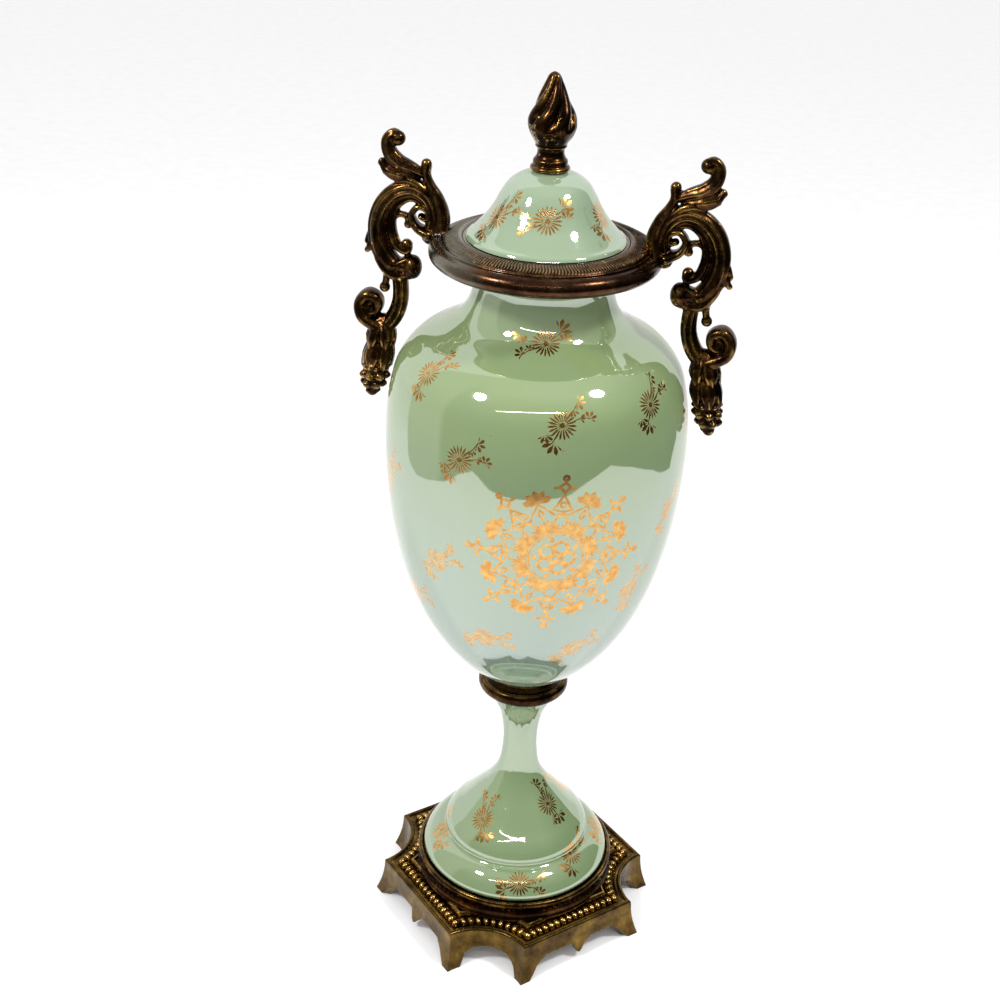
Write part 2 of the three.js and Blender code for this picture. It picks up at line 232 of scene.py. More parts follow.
# %% Fan group: petals round a middle
fan_group, given, answer = group(
    "gilt fan",
    [("Here", PLACE), ("Middle", PLACE), ("Facing", NUMBER), ("Petals", NUMBER), ("Length", NUMBER),
     ("Half width", NUMBER), ("Spread", NUMBER)],
)
t = fan_group
away = put(t, "ShaderNodeVectorMath", given[0], given[1], operation="SUBTRACT")
away = put(t, "ShaderNodeVectorRotate", away, rotation_type="Z_AXIS", named={"Angle": given[2]})
radius = put(t, "ShaderNodeVectorMath", away, operation="LENGTH", out=1)
split = put(t, "ShaderNodeSeparateXYZ", away).node.outputs
angle = put(t, "ShaderNodeMath", split[1], split[0], operation="ARCTAN2")
half_step = put(t, "ShaderNodeMath", math.pi, given[3], operation="DIVIDE")
folded = put(t, "ShaderNodeMath", angle, half_step, operation="PINGPONG")
off_axis = put(t, "ShaderNodeMath", folded, radius, operation="MULTIPLY")
outward = put(t, "ShaderNodeMath", radius, given[4], operation="DIVIDE", use_clamp=True)
outward = put(t, "ShaderNodeMath", outward, 1.9, operation="POWER")
belly = put(t, "ShaderNodeMath", outward, math.pi, operation="MULTIPLY")
belly = put(t, "ShaderNodeMath", belly, operation="SINE")
belly = put(t, "ShaderNodeMath", belly, given[5], operation="MULTIPLY")
edge = put(t, "ShaderNodeMath", off_axis, belly, operation="SUBTRACT")
beyond = put(t, "ShaderNodeMath", radius, given[4], operation="SUBTRACT")
edge = put(t, "ShaderNodeMath", edge, beyond, operation="MAXIMUM")
wide = put(t, "ShaderNodeMath", angle, operation="ABSOLUTE")
wide = put(t, "ShaderNodeMath", wide, given[6], operation="SUBTRACT")
edge = put(t, "ShaderNodeMath", edge, wide, operation="MAXIMUM")
t.links.new(edge, answer)
print("gilding groups:", ", ".join(g.name for g in bpy.data.node_groups))


# %% [markdown]
# ## The rosette
# Eight eyes and eight palmettes alternate round a ringed quatrefoil. Folding the angle into one
# sixteenth lets each element be drawn once. Two folded copies of the plane are kept, one lying along the
# eyes and one along the palmettes, with the distance from the middle along X.


# %% Rosette drawing
def smallest(tree, distances):
    """The smallest of several distances, which is the distance to all the strokes together."""
    nearest = distances[0]
    for distance in distances[1:]:
        nearest = put(tree, "ShaderNodeMath", nearest, distance, operation="MINIMUM")
    return nearest


def drawn(tree, here, strokes):
    """The distance to a list of strokes in one plane; each is a group and its inputs after the place."""
    return smallest(tree, [
        put(tree, "ShaderNodeGroup", here, *[(*v, 0) if isinstance(v, tuple) else v for v in values],
            node_tree=brush)
        for brush, *values in strokes
    ])


LINE, HOOP, FAN = line_group, hoop_group, fan_group
EYE_STROKES = [  # millimetres from the middle, along an eye
    (HOOP, (14.7, -1.2), 3.5, 0.3),            # open petal
    (LINE, (19.2, 0), (19.9, 3.3), 0.3),       # the eye's three sides
    (LINE, (19.9, 3.3), (25.6, 0), 0.35),
    (HOOP, (21.9, 0), 0.95, 0.3),
    (LINE, (26.6, 0), (28.5, 1.9), 0.42),      # diamond with ears, and a ball at its tip
    (LINE, (28.5, 1.9), (30.4, 0), 0.42),
    (LINE, (28.5, 1.9), (28.2, 3.5), 0.45),
    (HOOP, (32, 0), 0.8, 0.45),
]
PALMETTE_STROKES = [  # along a palmette
    (FAN, (10.8, 0), 0, 22, 5.6, 0.4, 1.35),   # sunburst tuft on the ring
    (HOOP, (12.0, 0), 0, 0.95),
    (LINE, (17.0, 7.0), (17.6, 4.2), 0.27),    # pointed outline round a small diamond
    (LINE, (17.6, 4.2), (19.4, 3.2), 0.27),
    (LINE, (19.4, 3.2), (23.3, 0), 0.3),
    (LINE, (17.3, 0), (19.2, 0.95), 0.27),
    (LINE, (19.2, 0.95), (21.1, 0), 0.27),
    (FAN, (23.2, 0), 0, 10, 5.4, 1.15, 1.5),   # five petals
]
MIDDLE_STROKES = [  # folded five times, inside the ring
    (HOOP, (0, 0), 11.0, 0.36),
    (HOOP, (0, 0), 9.8, 0.2),
    (HOOP, (4.6, 0), 2.4, 0.5),
    (HOOP, (0, 0), 1.1, 0.3),
    (HOOP, (4.3, 3.1), 0, 0.5),
    (HOOP, (6.5, 4.7), 0.7, 0.3),
]


def folded(tree, here, times):
    """The plane with its angle folded, so that a drawing on +X repeats, mirrored, so many times."""
    split = put(tree, "ShaderNodeSeparateXYZ", here).node.outputs
    angle = put(tree, "ShaderNodeMath", split[1], split[0], operation="ARCTAN2")
    return put(tree, "ShaderNodeMath", angle, math.pi / times, operation="PINGPONG")


def laid_out(tree, here, angle):
    """A place from its distance from the middle and its folded angle."""
    radius = put(tree, "ShaderNodeVectorMath", here, operation="LENGTH", out=1)
    aside = put(tree, "ShaderNodeCombineXYZ", radius)
    return put(tree, "ShaderNodeVectorRotate", aside, rotation_type="Z_AXIS", named={"Angle": angle})


def rosette(tree, here):
    """The distance to the rosette's gold, at a place in millimetres from its middle."""
    by_eye = folded(tree, here, 8)
    by_palmette = put(tree, "ShaderNodeMath", math.pi / 8, by_eye, operation="SUBTRACT")
    by_lobe = folded(tree, here, 5)
    return smallest(tree, [
        drawn(tree, laid_out(tree, here, by_eye), EYE_STROKES),
        drawn(tree, laid_out(tree, here, by_palmette), PALMETTE_STROKES),
        drawn(tree, laid_out(tree, here, by_lobe), MIDDLE_STROKES),
    ])


# %% [markdown]
# ## The sprigs
# A sprig is a many-petalled daisy with a cluster of leaves on one side and two budded branches on the
# other, about 20 mm long. All are the same transfer, laid at different turns. A UV map holds, for each
# face, the millimetres from the middle of the sprig nearest to it, so one drawing serves them all.

# %% Sprig drawing
SPRIG_STROKES = [
    (FAN, (0, 0), 0, 19, 5.3, 0.36, 4),        # daisy
    (HOOP, (0, 0), 0, 0.9),
    (LINE, (-2, -1), (-6.4, -3.2), 0.2),       # leaf cluster
    (FAN, (-5.4, -3.4), 2.7, 9, 4.6, 0.75, 1.3),
    (FAN, (-6.6, 0.6), 1.9, 9, 3.3, 0.55, 1.3),
    (LINE, (2.5, 1.2), (6.6, 2.0), 0.2),       # upper branch
    (LINE, (6.6, 2.0), (9.4, 3.6), 0.2),
    (FAN, (9.0, 3.2), 0.7, 7, 3.0, 0.6, 1.7),
    (FAN, (6.0, 1.9), 1.8, 9, 2.3, 0.4, 1.0),
    (LINE, (2.8, -0.9), (7.0, -1.8), 0.2),     # lower branch
    (LINE, (7.0, -1.8), (9.2, -4.0), 0.2),
    (FAN, (9.0, -3.8), -0.5, 7, 2.8, 0.55, 1.7),
    (FAN, (6.4, -1.6), 0.7, 9, 2.2, 0.4, 1.0),
]

# %% [markdown]
# ## Where the transfers lie
# The places are degrees round from the front towards +X, height in millimetres, and the turn of the
# sprig. The rosette faces front and a little right. The back is only sprigs, spread evenly.

# %% Transfer places
BODY_SPRIGS = [
    (13, 301, 190), (-18, 260, 28), (19, 278, 34), (58, 280, 40), (-43, 286, 60), (-29, 210, 31),
    (-10, 175, 5), (33, 170, 28), (55, 197, 65), (71, 230, 40), (-59, 238, 51), (-50, 184, 15),
    (95, 268, 200), (108, 204, 40), (134, 248, 320), (150, 192, 20), (166, 284, 170), (180, 226, 60),
    (203, 262, 200), (221, 197, 30), (238, 238, 330), (259, 280, 150), (272, 208, 60), (85, 176, 10),
    (188, 172, 15), (245, 168, 20),
]
LID_SPRIGS = [(10, 346, 190), (-50, 344, 45), (80, 345, 20), (140, 343, 170), (205, 346, 15), (262, 344, 60)]
FOOT_SPRIGS = [
    (-30, 56, 104), (14, 37, -4), (-66, 40, 131), (60, 41, 20), (105, 38, -23), (60, 62, 80),
    (150, 40, 20), (195, 37, 170), (240, 42, 30), (120, 60, 100), (215, 58, 80),
]
ROSETTE_PLACE = (19.2, 221.7, -3.4)
TRANSFER_SIZE = 1.12             # the real transfers against the drawings above


def transfer_maps(porcelain, profile, sprigs, rosette_place=None):
    """UV maps in millimetres: from the middle of the sprig nearest to each face, and from the rosette's."""
    mesh = porcelain.data
    profile = np.array(profile)
    walked = np.r_[0, np.cumsum(np.linalg.norm(np.diff(profile, axis=0), axis=1))]
    points = np.empty(len(mesh.vertices) * 3)
    mesh.vertices.foreach_get("co", points)
    points = points.reshape(-1, 3) / MM
    corner = np.empty(len(mesh.loops), int)
    mesh.loops.foreach_get("vertex_index", corner)
    counts = np.array([len(p.vertices) for p in mesh.polygons])
    face_of = np.repeat(np.arange(len(counts)), counts)
    radius = np.linalg.norm(points[:, :2], axis=1)[corner]
    around = np.arctan2(points[:, 0], -points[:, 1])[corner]
    upward = np.interp(points[:, 2], profile[:, 1], walked)[corner]

    def seen_from(degrees, height, turn):
        apart = (around - math.radians(degrees) + math.pi) % (2 * math.pi) - math.pi
        x, y = apart * radius, upward - np.interp(height, profile[:, 1], walked)
        c, s = math.cos(math.radians(turn)), math.sin(math.radians(turn))
        return np.column_stack([c * x + s * y, c * y - s * x]) / TRANSFER_SIZE

    places = np.stack([seen_from(*sprig) for sprig in sprigs])
    apart = np.linalg.norm(places, axis=2)
    per_face = np.stack([np.bincount(face_of, a) / counts for a in apart])
    nearest = per_face.argmin(axis=0)[face_of]
    chosen = places[nearest, np.arange(len(corner))]
    mesh.uv_layers.new(name="sprig").data.foreach_set("uv", chosen.ravel())
    far = np.full((len(corner), 2), 500.0)
    here = seen_from(*rosette_place) if rosette_place else far
    here[np.abs(around - math.radians(ROSETTE_PLACE[0])) > 1.4] = 500.0
    mesh.uv_layers.new(name="rosette").data.foreach_set("uv", here.ravel())


# %% [markdown]
# ## Celadon lustre glaze
# Fired porcelain under a green glaze, with a lustre: a film of metal salts a few hundred nanometres thick.
# The film's high index makes the gloss two or three times stronger than plain glass, and gives a pearly
# edge. So: a dielectric, roughness near zero, an index near 2, a thin film, and a pale sheen where the
# surface turns away. The gold is real metal, burnished, on the same surface.

# %% Glaze material
glaze, t = new_material("celadon lustre glaze with gilding")
place = put(t, "ShaderNodeTexCoord", out=3)
in_mm = put(t, "ShaderNodeVectorMath", place, operation="SCALE", named={"Scale": 1 / MM})
height = put(t, "ShaderNodeSeparateXYZ", in_mm, out=2)
cloud = put(t, "ShaderNodeTexNoise", in_mm, named={"Scale": 1 / 30, "Detail": 3.0})
level = put(t, "ShaderNodeMapRange", height, 0.0, 400.0, -0.07, 0.93)
level = put(t, "ShaderNodeMath", cloud, 0.14, level, operation="MULTIPLY_ADD")
green = stops(put(t, "ShaderNodeValToRGB", level), (0.28, "#71855F"), (0.4, "#74887A"), (0.6, "#708363"),
              (0.73, "#798C5F"), (0.82, "#7C8F74"))
speck = put(t, "ShaderNodeTexNoise", in_mm, named={"Scale": 1 / 1.4, "Detail": 1.0})
speck = put(t, "ShaderNodeMapRange", speck, 0.76, 0.8)
green = put(t, "ShaderNodeMix", data_type="RGBA", out=2,
            named={0: speck, 6: green, 7: linear("#5F7F5A")})
wobble = put(t, "ShaderNodeTexNoise", in_mm, named={"Scale": 1 / 0.9, "Detail": 2.0})
wobble = put(t, "ShaderNodeMapRange", wobble, 0.3, 0.7, -0.09, 0.09)
rosette_here = put(t, "ShaderNodeUVMap", uv_map="rosette")
sprig_here = put(t, "ShaderNodeUVMap", uv_map="sprig")
rosette_gap = put(t, "ShaderNodeMath", rosette(t, rosette_here), 0.1, operation="SUBTRACT")
gold_gap = smallest(t, [rosette_gap, drawn(t, sprig_here, SPRIG_STROKES)])
gold_gap = put(t, "ShaderNodeMath", gold_gap, wobble, operation="ADD")
gold = put(t, "ShaderNodeMapRange", gold_gap, 0.08, -0.04)
rubbed = put(t, "ShaderNodeTexNoise", in_mm, named={"Scale": 1 / 7, "Detail": 4.0, "Roughness": 0.7})
rubbed = put(t, "ShaderNodeMapRange", rubbed, 0.3, 0.42, 0.55, 1.0)
gold = put(t, "ShaderNodeMath", gold, rubbed, operation="MULTIPLY")
leaf_tone = put(t, "ShaderNodeTexNoise", in_mm, named={"Scale": 1 / 2.5, "Detail": 2.0})
leaf_tone = stops(put(t, "ShaderNodeValToRGB", leaf_tone), (0.35, "#BE8A4C"), (0.7, "#D9AC66"))
colour = put(t, "ShaderNodeMix", data_type="RGBA", out=2, named={0: gold, 6: green, 7: leaf_tone})
gloss = put(t, "ShaderNodeMapRange", gold, 0.0, 1.0, 0.04, 0.2)
shine = put(t, "ShaderNodeBsdfPrincipled", named={
    "Base Color": colour, "Metallic": gold, "Roughness": gloss, "IOR": 1.55,
    "Sheen Weight": 0.1, "Sheen Roughness": 0.35, "Sheen Tint": linear("#FFF6D8"),
    "Thin Film Thickness": 68.0, "Thin Film IOR": 2.08,
})
put(t, "ShaderNodeOutputMaterial", shine)
print("glaze nodes:", len(t.nodes))

# %% [markdown]
# ## Patinated brass
# Cast brass, dipped to a dark brown and then rubbed, so hollows stay dark and ridges show gold. The
# mesh's own pointiness tells ridge from hollow. The gold on the ridges is partly that rubbing and partly a
# painted highlight: it is set bright to stand in for the glints of the metal. The patina is uneven from
# red-brown to near black, with a grain of about a millimetre left by the sand of the mould.

# %% Brass materials
def patinated_brass(name, patina, gold_tone, rub_and_glint_range, patch=9.0, roughness=(0.15, 0.3), grey=False):
    """Brass whose patina runs through four hex tones, with gold on the ridges that is partly rubbed brass and partly
    painted highlight; the pointiness range after the gold tone says where that gold starts and is full.
    """
    made, t = new_material(name)
    place = put(t, "ShaderNodeTexCoord", out=3)
    in_mm = put(t, "ShaderNodeVectorMath", place, operation="SCALE", named={"Scale": 1 / MM})
    patches = put(t, "ShaderNodeTexNoise", in_mm, named={"Scale": 1 / patch, "Detail": 5.0, "Roughness": 0.62})
    spread = zip((0.3, 0.45, 0.58, 0.72), patina)
    brown = stops(put(t, "ShaderNodeValToRGB", patches), *spread)
    ridge = put(t, "ShaderNodeNewGeometry", out=7)
    grain = put(t, "ShaderNodeTexNoise", in_mm, named={"Scale": 1 / 1.3, "Detail": 4.0, "Roughness": 0.6})
    uneven = put(t, "ShaderNodeMapRange", patches, 0.35, 0.7, -0.012, 0.012)
    ridge = put(t, "ShaderNodeMath", ridge, uneven, operation="ADD")
    # gold on the ridges: rubbed brass, and a painted highlight set bright to stand in for glints
    rubbed_gold_and_glint = put(t, "ShaderNodeMapRange", ridge, *rub_and_glint_range, 0.0, 0.85)
    thin = put(t, "ShaderNodeMapRange", grain, 0.3, 0.62, 0.35, 1.0)
    rubbed_gold_and_glint = put(t, "ShaderNodeMath", rubbed_gold_and_glint, thin, operation="MULTIPLY")
    tone = put(t, "ShaderNodeMix", data_type="RGBA", out=2,
               named={0: rubbed_gold_and_glint, 6: brown, 7: linear(gold_tone)})
    if grey:
        across = put(t, "ShaderNodeSeparateXYZ", in_mm)
        leaded = put(t, "ShaderNodeMath", patches, 38.0, across, operation="MULTIPLY_ADD")
        leaded = put(t, "ShaderNodeMapRange", leaded, 6.0, -18.0, 0.0, 0.92)
        tone = put(t, "ShaderNodeMix", data_type="RGBA", out=2,
                   named={0: leaded, 6: tone, 7: linear("#857F73")})
    rough = put(t, "ShaderNodeMapRange", grain, 0.3, 0.7, *roughness)
    pits = put(t, "ShaderNodeBump", named={"Strength": 0.16, "Distance": 0.15 * MM, "Height": grain})
    metal = put(t, "ShaderNodeBsdfPrincipled", named={
        "Base Color": tone, "Metallic": 1.0, "Roughness": rough, "Normal": pits,
    })
    put(t, "ShaderNodeOutputMaterial", metal)
    return made


dark_brass = patinated_brass(
    "dark patinated brass", ("#160D09", "#2B1B10", "#432A17", "#6F4D27"), "#F0C268", (0.51, 0.58)
)
rim_brass = patinated_brass(
    "dark patinated brass, greyed at the solder", ("#2A1A11", "#3C271B", "#4E3424", "#6A4930"),
    "#D9AC66", (0.52, 0.62), grey=True
)
band_brass = patinated_brass(
    "engine-turned brass, greyed at the solder", ("#1A100B", "#2A1B13", "#38281C", "#4E3A28"),
    "#C79F70", (0.492, 0.535), grey=True
)
side_brass = patinated_brass(
    "rubbed yellow brass", ("#2E2210", "#4C3A1C", "#624C24", "#80652F"), "#EBC06A", (0.515, 0.58), patch=9.0
)
bead_brass = patinated_brass(
    "patinated brass, beads", ("#4A3014", "#6C4A20", "#8A662E", "#A8803C"), "#F6D080", (0.51, 0.58)
)

# %% [markdown]
# ## Porcelain
# Three turned shapes: the bell foot, the body and the lid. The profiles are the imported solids' own, and
# a curve through them takes away the facets. Faces about 1.5 mm across keep the reflections clean.

# %% Foot
SEAT, GAP = 28.2, 0.3
FOOT_OUTSIDE = [
    [42.6, SEAT + GAP], [43.9, 30.4], [42.4, 34.4], [38.8, 38.4], [36.2, 40], [34.2, 40.9], [33.5, 42], [33.8, 43.6],
    [32.9, 46.2], [30.6, 49.6], [26.4, 54], [20.6, 60.4], [14.2, 68], [10.2, 75], [8.2, 86], [8.5, 99], [10.4, 107.5], [13, 113.5],
    [15, 119],
]
FOOT_INSIDE = [[8, 63], [16.6, 56.6], [27.6, 45], [36.6, 35.6], [39.4, SEAT + GAP]]
foot_profile = curve_through(FOOT_OUTSIDE, 100)
points, faces = turned([[0.5, 63.2], *curve_through(FOOT_INSIDE, 12), *foot_profile, [0.5, 119]], 192)
foot = piece("porcelain_foot", points, faces, "foot")
transfer_maps(foot, foot_profile, FOOT_SPRIGS)

# %% Body
BODY_OUTSIDE = [
    [13.2, 127.3], [14.4, 130.4], [21, 133], [29.6, 140], [38.4, 150.4], [47.2, 165], [54, 182], [59.6, 204],
    [62.9, 230], [63.5, 250], [61.8, 269], [58.2, 281], [51.2, 289.6], [41.6, 295.4], [33.8, 300.8],
    [29.8, 307.6], [28.8, 315], [30.2, 319.6], [31.8, 322.6],
]
BODY_INSIDE = [
    [28.2, 322.6], [25.2, 315], [27.4, 303.6], [39.6, 292], [52.2, 282.4], [58.6, 266], [59.8, 242],
    [56, 205], [46.6, 173], [35, 152.6], [24, 141], [0.5, 136],
]
body_profile = curve_through(BODY_OUTSIDE, 150)
points, faces = turned([[0.5, 127.3], *body_profile, *curve_through(BODY_INSIDE, 30)], 256)
body = piece("porcelain_body", points, faces, "body")
transfer_maps(body, body_profile, BODY_SPRIGS, ROSETTE_PLACE)

# %% Lid
LID_OUTSIDE = [
    [32.2, 333.1], [31.6, 334.2], [30.4, 335], [27.2, 338.2], [24, 342], [21.2, 346.4], [18.6, 351.4],
    [15.6, 355.6], [11.6, 358.4], [6, 360.2],
]
LID_INSIDE = [[14.4, 352.2], [18.6, 344.6], [24.2, 336.4], [24.2, 329.1], [26.4, 329.1], [26.4, 333.1]]
lid_profile = curve_through(LID_OUTSIDE, 60)
points, faces = turned([[0.5, 357], [9.6, 355.6], *LID_INSIDE, *lid_profile, [0.5, 360.2]], 192)
lid = piece("porcelain_lid", points, faces, "lid")
transfer_maps(lid, lid_profile, LID_SPRIGS)
for porcelain in (foot, body, lid):
    porcelain.data.materials.append(glaze)

# %% [markdown]
# ## Collar and rim
# The collar is a hollowed half-round ring under the body. The rim is a fat half-round with a ridge
# between two grooves, and a sloping band that was engine-turned with some two hundred fine wavy
# strokes. The strokes are real waves in the mesh, so the band gets its own finer turning.

# %% Collar
COLLAR = [
    [7, 119.3], [15.4, 119.3], [18.2, 120.1], [20.1, 121.8], [20.5, 123.4], [20.1, 125.2], [19.2, 126.2],
    [18.2, 126.3], [17.0, 125.4], [15.8, 124.9], [14.4, 125.6], [13.2, 127], [7, 127],
]
points, faces = turned([COLLAR[0], *curve_through(COLLAR[1:12], 50), COLLAR[12]], 160)
collar = piece("collar_ring", points, faces, "collar")
collar.data.materials.append(dark_brass)

# %% Rim
arc = [math.radians(a) for a in range(-78, 84, 6)]
half_round = [[43 + 3.95 * math.cos(a), 326.7 + 3.9 * math.sin(a)] for a in arc]
RIM_STEP = [[43.2, 330.2], [42.9, 330.3], [42.7, 331.1], [42.2, 331.5], [41.7, 331.1], [41.5, 330.7]]
rim_profile = [
    [27.2, 322.9], [41.2, 322.9], *half_round, *curve_through(RIM_STEP, 14), [34, 331.8],
    [33.2, 332.8], [27.2, 332.8],
]
points, faces = turned([*rim_profile], 256)
faces = [f for f in faces if len(f) == 4] + [
    (k, 256 * (len(rim_profile) - 1) + k, 256 * (len(rim_profile) - 1) + (k + 1) % 256, (k + 1) % 256)
    for k in range(256)
]
rim = piece("rim_moulding", points, faces, "rim")
rim.data.materials.append(rim_brass)

# %% Engine-turned band
STROKES_ROUND = 200
BAND = [[33.4, 331.4], [33.6, 332.9], [34.4, 333.4], [35.2, 333.2], [41.2, 331.3], [41.5, 330.8], [41.4, 330.2]]


def engine_turned(radius, height, angle):
    """Lifts fine wavy ridges across the band; they bend a little on the way out."""
    across = np.clip((radius - 35.0) / (41.0 - 35.0), 0, 1)
    lift = np.sin(math.pi * across) ** 0.4
    bend = 0.35 * np.sin(2 * math.pi * across) + 0.25 * np.sin(7 * angle + 5 * across)
    return radius, height + 0.24 * lift * np.sin(STROKES_ROUND * angle + bend * math.pi)


points, faces = turned(curve_through(BAND, 34), STROKES_ROUND * 6, engine_turned)
band = piece("rim_band", points, [f for f in faces if len(f) == 4], "rim", crease=80)
band.data.materials.append(band_brass)

# %% [markdown]
# ## Plinth
# The plinth is one casting: a square of 110 mm whose corners are cut by quarter-round coves, with a
# splayed apron on eight feet. On top, a thin raised edge, a channel with a row of beads, star points that
# rise between the coves, and a ring moulding round the foot. It is made as the casting's own layers: the
# apron and its channel, the star plate, the ring, and the beads, which sink into each other a little.

# %% Outline of the plinth
FLAT, COVE_RADIUS, EDGE, SPLAY = 55.0, 24.5, 18.3, 3.0
APRON_STRAIGHT = [[0, 3.4], [0.05, 4.6], [0.17, 8.2], [0.3, 9.6], [0.46, 9.6], [0.62, 8.4], [0.74, 5.8], [0.8, 2.6],
                  [0.84, 0.5], [0.88, 0]]
APRON_COVE = [[0, 10], [0.3, 9.3], [0.52, 7.4], [0.66, 4.6], [0.74, 1.2], [0.79, 0]]


def outline(offset, straight=41, coved=31):
    """Points round the plinth at an inset from the top edge, and each one's apron height."""
    flat, radius = FLAT - offset, COVE_RADIUS + offset
    reach = FLAT - np.sqrt(radius**2 - offset**2)
    start = np.arcsin(offset / radius)
    u = np.linspace(-1, 1, straight)[:-1]
    side = np.stack([np.full(len(u), flat), u * reach])
    v = np.linspace(-1, 1, coved)[:-1]
    turn = start + (math.pi / 2 - 2 * start) * (v + 1) / 2
    cove = np.stack([FLAT - radius * np.sin(turn), FLAT - radius * np.cos(turn)])
    quarter = np.hstack([side, cove])
    points = []
    for corner in range(4):
        turned_by = (corner + 0.5) * math.pi / 2
        c, s = math.cos(turned_by), math.sin(turned_by)
        points.append(np.array([[c, -s], [s, c]]) @ quarter)
    low = [np.interp(np.abs(u), *curve_through(APRON_STRAIGHT + [[1, 0]], 60).T),
           np.interp(np.abs(v), *curve_through(APRON_COVE + [[1, 0]], 60).T)]
    return np.hstack(points).T, np.tile(np.maximum(np.concatenate(low), 0), 4)


def layered(rings):
    """A closed skin through rings of (inset, height); an inset or height may be one number or one per point."""
    skins = []
    for inset, height in rings:
        if np.ndim(inset):
            flat = np.array([outline(d)[0][i] for i, d in enumerate(inset)])
        else:
            flat = outline(inset)[0]
        skins.append(np.column_stack([flat, np.broadcast_to(height, len(flat))]))
    return np.vstack(skins), len(skins), len(skins[0])


# %% Apron and bead channel
low = outline(0)[1]
rings = [(9.6, 15.4), (9.6, 17.2), (8.9, 17.4)]
rings += [(d, 17.2 + 0.25 * abs(d - 6.4) ** 1.2) for d in (8.3, 7.4, 6.4, 5.4, 4.4, 3.6, 3.0)]
rings += [(2.3, 18.0), (1.9, 18.6), (1.4, 18.95), (0.9, 19.0), (0.45, 18.8), (0.15, 18.4), (0, 17.9)]
for share in (0.06, 0.2, 0.4, 0.6, 0.8, 0.93):
    height = 17.9 + (low - 17.9) * share
    rings.append((-SPLAY * (1 - height / EDGE) ** 2, height))
rings.append((-SPLAY * (1 - low / EDGE) ** 2 + 0.1, low))
rings.append((-SPLAY * (1 - low / EDGE) ** 2 + 0.5, low - 0.0))
rings.append((-SPLAY * (1 - low / EDGE) ** 2 + 3.0, low))
rings.append((3.4, 14.8))
points, rows, around = layered(rings)
faces = skin((rows, around), cap_ends=False)
faces += [(k + (rows - 1) * around, (k + 1) % around + (rows - 1) * around, (k + 1) % around, k)
          for k in range(around)]
apron = piece("plinth_apron", points, faces, "plinth", crease=32)
apron.data.materials.append(side_brass)
apron.data.materials.append(dark_brass)
for face in apron.data.polygons:  # the bead channel stays dark
    if face.normal.z > 0.6 and 16.5 < face.center.z / MM < 18.3:
        face.material_index = 1

# %% Star plate and ring moulding
STAR = [(9.3, 15.6), (9.3, 18.6), (9.6, 19.9), (10.1, 20.6), (10.7, 20.8), (11.3, 20.5), (11.9, 20.1), (20, 20.3)]
points, rows, around = layered(STAR)
star = piece("plinth_star", points, skin((rows, around)), "plinth", crease=32)
star.data.materials.append(dark_brass)

RING = [
    [41.8, 24.6], [41.8, 17.2], [45.4, 17.0], [46.9, 18.6], [46.9, 20.4], [46.3, 21.4], [45.8, 22.8],
    [45.7, 24.4], [46.1, 26.2], [46.7, 27.4], [46.6, 28.6], [45.9, 29.5], [45.1, 29.6], [44.4, 29.0],
    [44.1, 28.2],
]
points, faces = turned([*curve_through(RING[:3], 4)[:1], *RING[1:3], *curve_through(RING[3:], 46),
                        [30, 28.2], [30, 24.6]], 256)
rows = len(points) // 256
faces = [f for f in faces if len(f) == 4]
faces += [((rows - 1) * 256 + k, (rows - 1) * 256 + (k + 1) % 256, (k + 1) % 256, k) for k in range(256)]
ring = piece("plinth_ring", points, faces, "plinth")
ring.data.materials.append(dark_brass)

# %% Beads
BEAD = (1.5, 2.3, 1.95)
beads = bmesh.new()
for corner in range(4):
    for coved, count in ((False, 15), (True, 10)):
        for k in range(0 if not coved else 1, count + (0 if coved else 1)):
            u = 2 * k / count - 1
            bead_inset = 6.4
            radius = COVE_RADIUS + bead_inset
            reach = FLAT - math.sqrt(radius**2 - bead_inset**2)
            start = math.asin(bead_inset / radius)
            turn = start + (math.pi / 2 - 2 * start) * (u + 1) / 2
            spot = Vector((FLAT - bead_inset, u * reach, 0))
            lean = math.pi / 2
            if coved:
                spot = Vector((FLAT - radius * math.sin(turn), FLAT - radius * math.cos(turn), 0))
                lean = -turn
            place = Matrix.Rotation((corner + 0.5) * math.pi / 2, 4, "Z") @ Matrix.Translation(spot)
            place = place @ Matrix.Translation((0, 0, 18.1)) @ Matrix.Rotation(lean + 0.18, 4, "Z")
            place = place @ Matrix.Diagonal((*BEAD, 1))
            bmesh.ops.create_icosphere(beads, subdivisions=3, radius=1, matrix=place)
points = [v.co[:] for v in beads.verts]
faces = [[v.index for v in f.verts] for f in beads.faces]
beads.free()
bead_row = piece("plinth_beads", points, faces, "plinth")
bead_row.data.materials.append(bead_brass)

# %% [markdown]
# ## Cast scrolls
# The handles are flat rococo scrolls: bars that taper, curl and branch, with ribs along them, leaves and
# a hanging husk. Each bar is a section swept along a smooth way. The bars are simply laid through each
# other, and a voxel remesh of under half a millimetre melts them into one skin with small fillets, as
# casting does. The left handle is the mirror of the right one.


